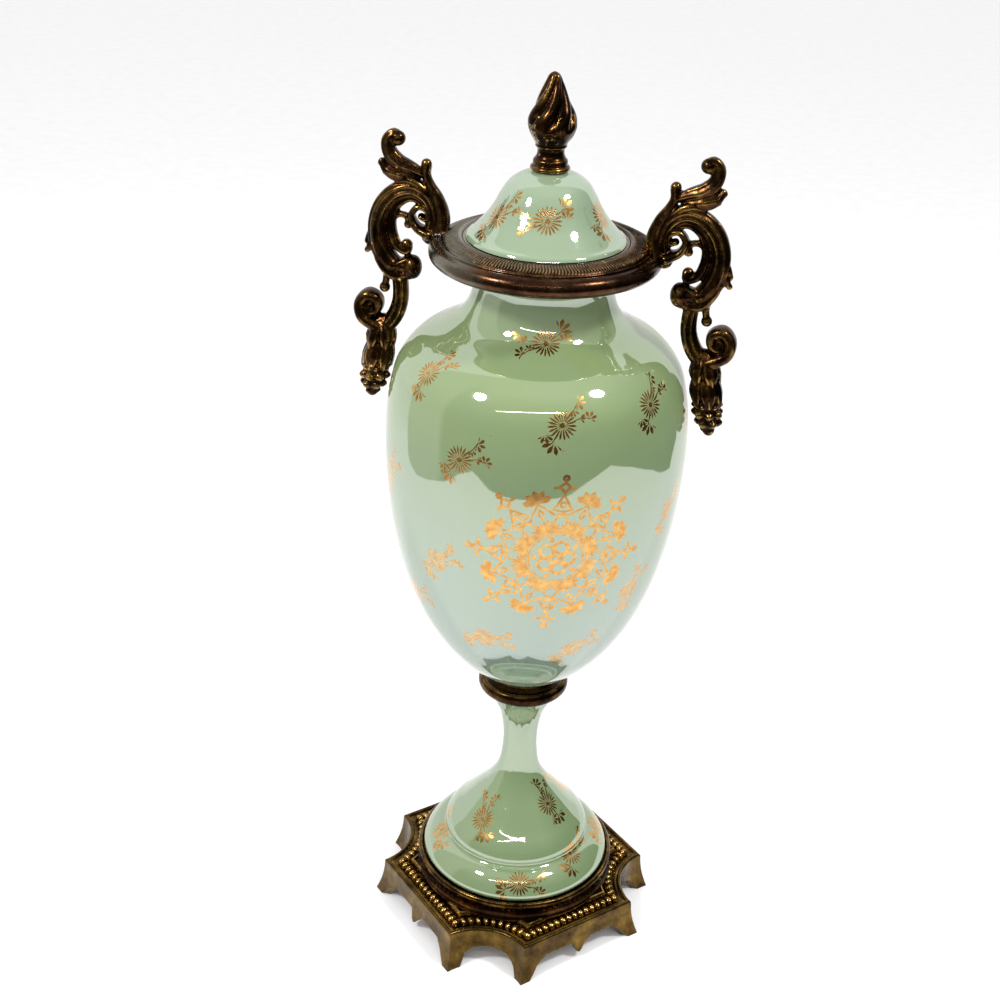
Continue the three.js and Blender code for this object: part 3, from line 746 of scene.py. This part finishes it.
# %% Sweeping a bar
def bar(way, widths, depth=1.1, ribs=0, cut=0.12, facing=(0, 1, 0), sides=28, step=0.6):
    """Points and faces of a tapered bar with rounded ends; ribs run along its broad faces."""
    way = np.array(way, float)
    if way.shape[1] == 2:
        way = np.column_stack([way[:, 0], np.zeros(len(way)), way[:, 1]])
    length = np.linalg.norm(np.diff(way, axis=0), axis=1).sum()
    count = max(8, int(length / step))
    middle = curve_through(way, count)
    width = np.interp(np.linspace(0, 1, count), np.linspace(0, 1, len(widths)), widths)
    tangent = np.gradient(middle, axis=0)
    tangent /= np.linalg.norm(tangent, axis=1)[:, None]
    cap = np.linspace(0, math.pi / 2, 5)[:-1]
    middle = np.vstack([middle[0] - tangent[0] * (width[0] * np.cos(cap))[:, None], middle,
                        middle[-1] + tangent[-1] * (width[-1] * np.cos(cap[::-1]))[:, None]])
    tangent = np.vstack([np.tile(tangent[0], (4, 1)), tangent, np.tile(tangent[-1], (4, 1))])
    width = np.r_[width[0] * np.maximum(np.sin(cap), 0.06), width, width[-1] * np.maximum(np.sin(cap[::-1]), 0.06)]
    across = np.cross(tangent, facing)
    across /= np.linalg.norm(across, axis=1)[:, None]
    through = np.cross(across, tangent)
    a = np.linspace(0, 2 * math.pi, sides, endpoint=False)
    out, thick = np.cos(a), np.sin(a)
    groove = 1 - cut * (0.5 - 0.5 * np.cos(math.pi * (ribs * out + ribs))) * (ribs > 0)
    section_out = np.sign(out) * np.abs(out) ** 0.85
    section_thick = np.sign(thick) * np.abs(thick) ** 0.75 * groove
    points = (
        middle[:, None, :]
        + across[:, None, :] * (width[:, None] * section_out)[:, :, None]
        + through[:, None, :] * (width[:, None] * depth * section_thick)[:, :, None]
    )
    return points.reshape(-1, 3), skin((len(middle), sides))


def knob(x, z, size, y=0.0, squash=(1, 1, 1)):
    """Points and faces of a ball."""
    made = bmesh.new()
    bmesh.ops.create_icosphere(made, subdivisions=3, radius=size)
    points = np.array([v.co[:] for v in made.verts]) * squash + (x, y, z)
    faces = [[v.index for v in f.verts] for f in made.faces]
    made.free()
    return points, faces


def cast(name, parts, voxel, replaces, material, mirror=False, smooth=2):
    """Melts overlapping parts into one casting, and gives the piece."""
    vertices, faces = [], []
    for points, part_faces in parts:
        faces += [[len(vertices) + i for i in f] for f in part_faces]
        vertices += [tuple(p) for p in points]
    raw = bpy.data.meshes.new(name + "_raw")
    raw.from_pydata(vertices, [], faces)
    rough = bpy.data.objects.new(name + "_raw", raw)
    bpy.context.scene.collection.objects.link(rough)
    melt = rough.modifiers.new("melt", "REMESH")
    melt.mode, melt.voxel_size, melt.use_smooth_shade = "VOXEL", voxel, True
    soften = rough.modifiers.new("soften", "SMOOTH")
    soften.factor, soften.iterations = 0.5, smooth
    bpy.context.view_layer.update()
    melted = rough.evaluated_get(bpy.context.evaluated_depsgraph_get()).to_mesh()
    points = np.array([v.co[:] for v in melted.vertices])
    faces = [list(p.vertices) for p in melted.polygons]
    bpy.data.objects.remove(rough)
    if mirror:
        points[:, 0] *= -1
        faces = [f[::-1] for f in faces]
    made = piece(name, points, faces, replaces, crease=180)
    made.data.materials.append(material)
    return made


# %% The handle's bars, knobs and leaves
RAISE = 1.2
BARS = [  # way through [x, z] or [x, y, z], half widths along it, and what else the bar needs
    # crest, and the leaf that curls out under it
    ([[49, 352], [55, 354.4], [60.8, 356.6], [64.6, 360.6], [65, 365.4], [62.6, 367.6], [60.8, 366.2]],
     [1.6, 2.2, 3, 3.1, 2.9, 2.6, 2], {"ribs": 2, "cut": 0.22}),
    ([[56, 351], [62, 352.4], [66, 353.8], [67.8, 356.6]], [2.0, 2.6, 2.4, 1.2], {"depth": 1.3, "ribs": 2}),
    ([[58, 351.4], [63, 350.6], [66.6, 352.2]], [1.2, 1.6, 1.0], {"depth": 1.5}),
    # limb from the rim to the bud
    ([[44, 328.5], [42.4, 335], [44.4, 342.6], [48.2, 349.2], [49.6, 353], [49.4, 356]],
     [3.6, 3, 2.7, 2.3, 1.8, 2.1], {"depth": 1.2, "ribs": 2, "cut": 0.2}),
    # leaf over the large scroll
    ([[46.6, 341], [50, 346.6], [55.6, 350], [61.4, 349.4]], [1.0, 1.6, 1.8, 1.2], {"depth": 1.9}),
    # large scroll
    ([[47.4, 327.5], [46.2, 336], [49, 343], [54.6, 346.4], [61, 345], [66.4, 340], [69.3, 332.5], [69, 325],
      [66, 317.6], [61, 312.8], [56, 312]],
     [3.6, 2.8, 2.9, 3.3, 3.6, 3.7, 3.8, 4, 4.2, 4.2, 3.6], {"depth": 1.05, "ribs": 3, "cut": 0.3}),
    # thin rib inside it, ending in a hook
    ([[50, 341], [56, 342.2], [61, 339], [63.4, 333], [63, 326.6], [60.4, 321.6], [56.8, 320.6], [56.6, 323]],
     [1.2, 1.3, 1.5, 1.7, 1.9, 2, 1.8, 1.8], {"depth": 1.35}),
    # volute at the rim
    ([[48, 328.6], [53.4, 331.2], [55.2, 335.8], [52, 339.4], [48.4, 337.4], [49.4, 334.4], [51.4, 335.2]],
     [2.4, 1.8, 1.5, 1.4, 1.3, 1.2, 1.1], {"depth": 2.2}),
    # small scroll across the window
    ([[64.6, 328], [63.2, 333], [60.2, 335.4], [56.8, 334.4], [56.6, 332]], [1.2, 1.2, 1.2, 1.3, 1.5],
     {"depth": 1.3}),
    # leaf that fans from the scroll's end
    ([[70, 328], [67.6, 320], [62.6, 314.4], [56.4, 316.8]], [1.6, 2.2, 2.4, 1.6], {"depth": 1.9}),
    ([[70.6, 324], [68, 315.4], [62, 310], [56, 311]], [1.4, 1.9, 2.3, 1.8], {"depth": 1.9}),
    # leaf tips on the outside, and the leaf that falls beside the stem
    ([[70, 325.6], [72.4, 321.8], [73.6, 319.2]], [2, 1.6, 1.1], {"depth": 1.3}),
    ([[70.4, 330], [73, 325.6], [74.2, 322.8]], [1.8, 1.4, 0.9], {"depth": 1.2}),
    ([[69.2, 320], [66.8, 314.4], [65.6, 309], [66.2, 305]], [2.8, 2.4, 1.6, 1.4], {"depth": 1.3, "ribs": 2}),
    # stem
    ([[61, 314], [59.6, 306], [59.8, 298.4], [62.4, 291.4], [66.6, 286.4]], [3.2, 3.2, 3.3, 3.5, 3.6],
     {"depth": 1.2, "ribs": 3, "cut": 0.32}),
    # outer volute
    ([[66.4, 286], [71, 287.8], [75.6, 290.8], [76.6, 296.2], [73.2, 300.2], [69.2, 298.4], [69.4, 294.2],
      [72.2, 292.8], [73.4, 295.4]], [2.9, 2.9, 2.8, 2.7, 2.7, 2.5, 2.1, 1.8, 1.5], {"depth": 1.75}),
    # heart of the husk
    ([[66.8, 289], [67.7, 284], [68.9, 275], [70.2, 267], [71.2, 261], [71.8, 257]], [3.4, 4.6, 5.0, 4.8, 4, 2.4],
     {"depth": 1}),
]
KNOBS = [
    (61.2, 366.0, 3.1), (49.5, 356.8, 2.2), (56.6, 331.6, 1.9), (57.2, 323.2, 2.3), (67.9, 355.8, 1.6),
    (66.4, 304.0, 2.3), (73.9, 319.2, 1.3), (51.2, 335.2, 1.6), (72.4, 295.4, 2.3),
]
LEAF_CURL = (54.6, 313.8, 4.9, 0.0, (0.78, 0.95, 1.05))
HUSK_AXIS = ([66.9, 290], [68.9, 275], [70.2, 267], [72.0, 256.5])


def husk_point(down, angle, out):
    """A place on the husk: how far down it from 0 to 1, the angle round it, and the distance from its axis."""
    x, z = curve_through(HUSK_AXIS, 60)[int(round(down * 59))]
    return [x + out * math.cos(angle), out * math.sin(angle), z]


def husk():
    """Two tiers of long leaves that overlap like tiles, then a cluster of small round flowers."""
    made = []
    for tier, (top, foot_of_leaf, out, count) in enumerate([(0.0, 0.36, 5.0, 5), (0.2, 0.62, 5.2, 6)]):
        for k in range(count):
            angle = 2 * math.pi * (k + 0.5 * tier) / count + 0.26
            way = [husk_point(top, angle, out - 2.6), husk_point((top + foot_of_leaf) / 2, angle, out),
                   husk_point(foot_of_leaf - 0.08, angle, out + 0.4), husk_point(foot_of_leaf, angle, out + 0.2)]
            facing = (math.cos(angle), math.sin(angle), 0)
            made.append(bar(way, [1.8, 3.0, 3.1, 1.5], depth=0.5, ribs=2, cut=0.3, facing=facing))
            vein = [(x + 0.9 * facing[0], y + 0.9 * facing[1], z) for x, y, z in way]
            made.append(bar(vein, [0.5, 0.6, 0.55, 0.4], depth=1, facing=facing))
    for row, (down, out, count, size) in enumerate([(0.62, 4.5, 7, 1.8), (0.74, 4.5, 7, 2.0), (0.86, 3.6, 6, 2.0),
                                                    (0.97, 1.5, 3, 1.8)]):
        for k in range(count):
            angle = 2 * math.pi * (k + 0.5 * row) / count
            x, y, z = husk_point(down, angle, out)
            made.append(knob(x, z, size, y))
            made.append(knob(x + 1.2 * math.cos(angle), z, 0.6 * size, y + 1.2 * math.sin(angle)))
    return made


# %% Casting the handles
handle_parts = [bar(way, widths, **more) for way, widths, more in BARS]
handle_parts += [knob(*k) for k in KNOBS] + [knob(*LEAF_CURL)] + husk()
handle_parts = [(np.array(points) + (0, 0, RAISE), faces) for points, faces in handle_parts]
for name, mirror in (("handle_right", False), ("handle_left", True)):
    cast("cast_" + name, handle_parts, 0.42, name, dark_brass, mirror)

# %% Solder at the left handle
SOLDER = [(-43.6, 331.0, 1.5, -3.4), (-45.2, 330.3, 1.7, -1.6), (-42.9, 331.5, 1.3, 0.4), (-45.4, 330.4, 1.6, 2.2),
          (-43.9, 331.1, 1.4, 4.0), (-41.7, 331.4, 0.9, -2.0)]
cast("solder_left", [knob(x, z, size, y, (1.3, 1.4, 0.6))
     for x, z, size, y in SOLDER], 0.3, "rim", rim_brass)

# %% [markdown]
# ## Finial
# A flame on a turned foot: ring mouldings, a waist, and a bulb whose six flutes wind round it to the
# tip. Low on the front sits a small round boss. The flame is a turned shape with the flutes pressed in,
# and the boss and leaves are melted into it as on the handles.

# %% Finial
FINIAL = [
    [0.3, 360.6], [7.4, 360.5], [7.9, 361.0], [7.6, 362.0], [6.8, 362.5], [6.9, 363.6], [6.7, 364.5], [5.9, 365.4],
    [5.4, 366.6], [5.3, 368], [5.6, 369.1], [6.3, 369.7], [6.1, 370.6], [6.6, 371.4], [8.0, 373.8],
    [9.3, 376.8], [9.5, 379.6], [8.7, 382.8], [7.2, 386], [5.3, 390], [3.5, 394], [1.8, 397.2], [0.3, 398],
]


def fluted(radius, height, angle):
    """Presses winding flutes into the flame above its collar, deepest half way up."""
    up = np.clip((height - 370.5) / (398 - 370.5), 0, 1)
    deep = 0.3 * np.clip((height - 376) / 5, 0, 1) * np.clip((398 - height) / 6, 0, 1) ** 0.5
    wave = 1 - np.abs(np.cos(3 * (angle - 2.2 * up - 0.5))) ** 0.7
    return radius * (1 - deep * wave), height


points, faces = turned(curve_through(FINIAL, 120), 144, fluted)
finial_parts = [(points, faces)]
BOSS = (0.5, -8.4, 375.8)
for k in range(7):
    a = 2 * math.pi * k / 7
    finial_parts.append(knob(BOSS[0] + 2.0 * math.cos(a), BOSS[2] + 2.0 * math.sin(a), 0.85, BOSS[1] + 0.4))
finial_parts.append(knob(BOSS[0], BOSS[2] - 0.3, 0.7, BOSS[1] + 0.3))
for k in range(6):
    a = 2 * math.pi * (k + 0.5) / 6 - math.pi / 2
    facing = (math.cos(a), math.sin(a), 0)
    leaf = [(r * facing[0], r * facing[1], z) for r, z in ((5.6, 371.2), (7.6, 374.6), (8.7, 378), (8.3, 381.6))]
    finial_parts.append(bar(leaf, [1.4, 2.4, 2.2, 0.8], depth=0.45, ribs=2, cut=0.3, facing=facing))
cast("cast_finial", finial_parts, 0.3, "finial", dark_brass, smooth=1)

# %% [markdown]
# ## Table, light and the dark room in front
# A glossy glaze shows the room. The urn stands in a white studio: pale table, white all round, and two
# small lamps and a tube overhead. In front, behind the camera, it is dim, and that dim part gives the
# glaze its deep green. Dark flags that only reflections can see stand in for it.

# %% Table
white, t = new_material("pale table")
grain = put(t, "ShaderNodeTexNoise", put(t, "ShaderNodeTexCoord", out=3), named={"Scale": 60.0, "Detail": 2.0})
tone = stops(put(t, "ShaderNodeValToRGB", grain), (0.3, "#F4F4F5"), (0.7, "#F8F8F9"))
put(t, "ShaderNodeOutputMaterial", put(t, "ShaderNodeBsdfPrincipled", named={"Base Color": tone, "Roughness": 0.6}))
floor_mesh = bpy.data.meshes.new("table")
floor_mesh.from_pydata([(-6, -6, 0), (6, -6, 0), (6, 6, 0), (-6, 6, 0)], [], [(0, 1, 2, 3)])
floor_mesh.materials.append(white)
floor = bpy.data.objects.new("table", floor_mesh)
bpy.context.scene.collection.objects.link(floor)

# %% World and lamps
world = bpy.data.worlds.new("white studio")
bpy.context.scene.world = world
world.use_nodes = True
world.node_tree.nodes["Background"].inputs[0].default_value = linear("#FFFFFF")
world.node_tree.nodes["Background"].inputs[1].default_value = 0.98
bpy.context.scene.view_settings.view_transform = "Standard"


def lamp(name, azimuth, elevation, size, power, distance, aim=(0, 0, 0.26), tall=None, roll=0.0):
    """A small lamp at an azimuth from the front towards +X and an elevation, aimed at the urn."""
    data = bpy.data.lights.new(name, "AREA")
    data.shape, data.size, data.energy = ("RECTANGLE" if tall else "ELLIPSE"), size, power
    data.size_y = tall or size
    made = bpy.data.objects.new(name, data)
    bpy.context.scene.collection.objects.link(made)
    a, e = math.radians(azimuth), math.radians(elevation)
    back = Vector((math.sin(a) * math.cos(e), -math.cos(a) * math.cos(e), math.sin(e)))
    made.location = Vector(aim) + back * distance
    made.rotation_euler = (-back).to_track_quat("-Z", "Y").to_euler()
    made.rotation_euler.rotate_axis("Z", math.radians(roll))
    made.visible_camera = False


lamp("lamp_left", -45, 43, 0.13, 4.5, 0.84)
lamp("lamp_right", 75, 52, 0.15, 5.5, 0.95)
lamp("tube", 3, 37, 0.55, 0.35, 0.66, tall=0.005, roll=8)

# %% [markdown]
# The room in front is a bent screen along the edges of the white table, 0.55 to 0.9 m from the urn. It is
# a little lighter on the left and towards the ceiling. It gives off its own dim light, and camera, shadow
# and diffuse rays pass through it, so the table and the urn are still lit from all round.

# %% Dim room
TABLE_EDGE = [  # plan of the screen, metres
    (-0.62, 0.06), (-0.54, -0.05), (-0.515, -0.23), (-0.47, -0.47), (-0.412, -0.605), (-0.29, -0.59),
    (-0.113, -0.583), (0.06, -0.578), (0.232, -0.555), (0.411, -0.5), (0.611, -0.439), (0.819, -0.388),
    (0.744, -0.101), (0.619, 0.143), (0.475, 0.345), (0.53, 0.5),
]
SCREEN_TOP = 2.2
dim, t = new_material("dim room")
here = put(t, "ShaderNodeTexCoord", out=3)
split = put(t, "ShaderNodeSeparateXYZ", here).node.outputs
bearing = put(t, "ShaderNodeMath", split[0], put(t, "ShaderNodeMath", split[1], -1.0, operation="MULTIPLY"),
              operation="ARCTAN2")
bearing = put(t, "ShaderNodeMapRange", bearing, math.radians(-100), math.radians(140))
sideways = stops(put(t, "ShaderNodeValToRGB", bearing), (0.0, "#C2C4B8"), (0.155, "#C2C4B8"), (0.175, "#84877A"),
                 (0.45, "#5A5C52"), (0.75, "#3A3B34"), (1.0, "#3A3B34"))
rising = put(t, "ShaderNodeMapRange", split[2], 0.25, 1.3)
room_tone = put(t, "ShaderNodeMix", data_type="RGBA", out=2, named={0: rising, 6: sideways, 7: linear("#C4C8BC")})
put(t, "ShaderNodeOutputMaterial", put(t, "ShaderNodeEmission", room_tone, 1.0))
count = len(TABLE_EDGE)
screen_points = [(x, y, z) for z in (0.0015, SCREEN_TOP) for x, y in TABLE_EDGE]
screen_faces = [(k, k + 1, count + k + 1, count + k) for k in range(count - 1)]
screen_faces.append(tuple(range(count, 2 * count)))
screen_mesh = bpy.data.meshes.new("dim_room")
screen_mesh.from_pydata(screen_points, [], screen_faces)
screen_mesh.materials.append(dim)
screen = bpy.data.objects.new("dim_room", screen_mesh)
bpy.context.scene.collection.objects.link(screen)
screen.visible_camera = screen.visible_diffuse = screen.visible_shadow = False
screen.visible_transmission = screen.visible_volume_scatter = False
